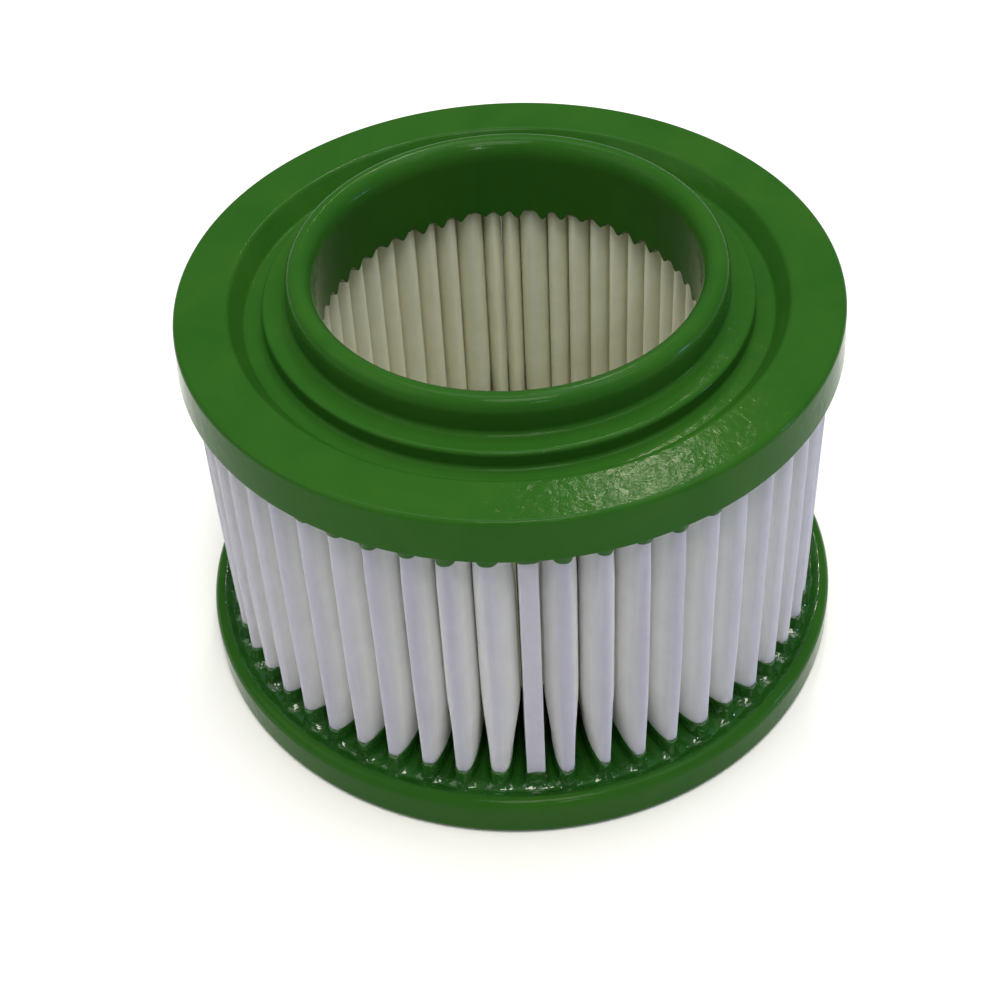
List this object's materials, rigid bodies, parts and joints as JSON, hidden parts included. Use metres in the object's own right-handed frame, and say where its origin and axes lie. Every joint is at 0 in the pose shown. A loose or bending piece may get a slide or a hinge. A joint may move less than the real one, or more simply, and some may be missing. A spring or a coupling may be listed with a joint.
{
  "type": "pleated air filter element",
  "caption": "Round air filter element: pleated white media potted between two moulded polyurethane end caps, with a raised sealing bead around the open end's bore.",
  "frame": {"origin": "centre of the closed end cap's flat bottom face", "axes": "+Z along the element's axis, from the closed end towards the open end with the bead; the media's bonded seam is at -Y"},
  "size_m": [0.1096, 0.1096, 0.0747],
  "materials": {
    "polyurethane": "satin",
    "media": "matte",
    "adhesive": "satin"
  },
  "bodies": {
    "root": {"top_end_cap": "polyurethane", "bottom_end_cap": "polyurethane", "pleated_media": "media", "seam_adhesive": "adhesive"}
  },
  "joints": []
}
